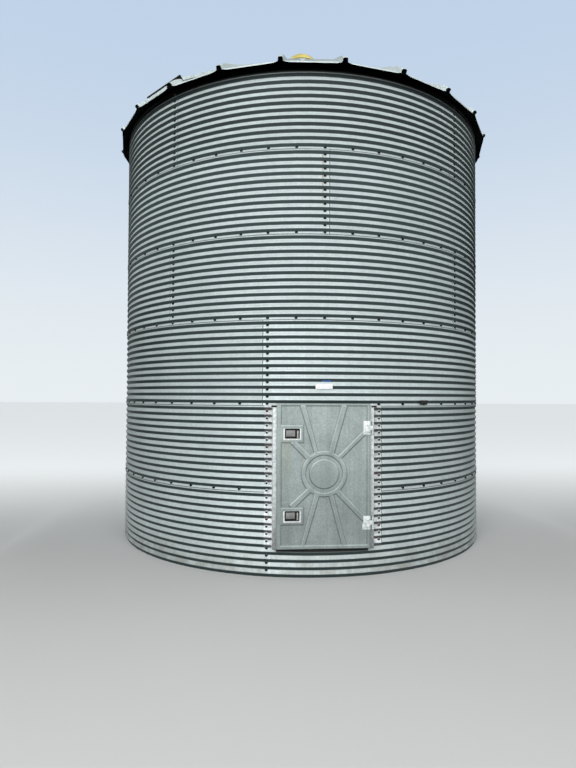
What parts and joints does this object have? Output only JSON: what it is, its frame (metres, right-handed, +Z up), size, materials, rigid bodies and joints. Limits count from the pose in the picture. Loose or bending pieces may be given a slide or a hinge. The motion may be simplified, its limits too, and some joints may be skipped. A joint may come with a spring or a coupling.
{
  "type": "grain silo",
  "caption": "Round bolted corrugated steel grain bin with a ribbed conical roof, a domed fill lid, a roof hatch and a hinged outer door at ground level.",
  "frame": {"origin": "on the silo's axis at the foot of the wall, where it stands on the ground", "axes": "+Z up along the silo's axis, -Y out through the door, +X to the right as seen from the door"},
  "size_m": [4.421, 4.421, 5.957],
  "materials": {
    "wall_sheet": "weathered galvanised sheet",
    "roof_sheet": "galvanised sheet",
    "frame_steel": "galvanised",
    "door_steel": "dull grey, weathered",
    "hinge_steel": "bright zinc",
    "latch_steel": "dull grey",
    "yellow_lid": "satin yellow",
    "tag": "matt white"
  },
  "bodies": {
    "silo": {"ring_1_sheet_1": "wall_sheet", "ring_1_sheet_2": "wall_sheet", "ring_1_sheet_3": "wall_sheet", "ring_1_sheet_4": "wall_sheet", "ring_2_sheet_1": "wall_sheet", "ring_2_sheet_2": "wall_sheet", "ring_2_sheet_3": "wall_sheet", "ring_2_sheet_4": "wall_sheet", "ring_3_sheet_1": "wall_sheet", "ring_3_sheet_2": "wall_sheet", "ring_3_sheet_3": "wall_sheet", "ring_3_sheet_4": "wall_sheet", "ring_4_sheet_1": "wall_sheet", "ring_4_sheet_2": "wall_sheet", "ring_4_sheet_3": "wall_sheet", "ring_4_sheet_4": "wall_sheet", "ring_5_sheet_1": "wall_sheet", "ring_5_sheet_2": "wall_sheet", "ring_5_sheet_3": "wall_sheet", "ring_5_sheet_4": "wall_sheet", "ring_6_sheet_1": "wall_sheet", "ring_6_sheet_2": "wall_sheet", "ring_6_sheet_3": "wall_sheet", "ring_6_sheet_4": "wall_sheet", "ring_1_sill_panel": "wall_sheet", "roof_panels_1": "roof_sheet", "roof_panels_2": "roof_sheet", "roof_panels_3": "roof_sheet", "roof_panels_4": "roof_sheet", "roof_panels_5": "roof_sheet", "roof_panels_6": "roof_sheet", "fill_collar": "frame_steel", "fill_lid": "yellow_lid", "roof_hatch_curb": "roof_sheet", "roof_hatch_lid": "roof_sheet", "door_jamb_left": "frame_steel", "door_jamb_right": "frame_steel", "door_head": "frame_steel", "door_sill": "frame_steel", "tag_plate": "tag"},
    "door": {"door_leaf": "door_steel", "door_hinge_upper": "hinge_steel", "door_hinge_lower": "hinge_steel"},
    "latch_upper": {"door_latch_upper": "latch_steel"},
    "latch_lower": {"door_latch_lower": "latch_steel"}
  },
  "joints": [
    {"name": "door_hinge", "type": "hinge", "parent": "silo", "child": "door", "pos_m": [0.425, -2.139, 0.9], "axis": [0, 0, 1], "range_deg": [0, 160]},
    {"name": "upper_latch_pivot", "type": "hinge", "parent": "door", "child": "latch_upper", "pos_m": [-0.344, -2.131, 1.264], "axis": [0, 0, -1], "range_deg": [0, 35], "stiffness_Nm_per_rad": 0.2},
    {"name": "lower_latch_pivot", "type": "hinge", "parent": "door", "child": "latch_lower", "pos_m": [-0.344, -2.131, 0.552], "axis": [0, 0, -1], "range_deg": [0, 35], "stiffness_Nm_per_rad": 0.2}
  ]
}
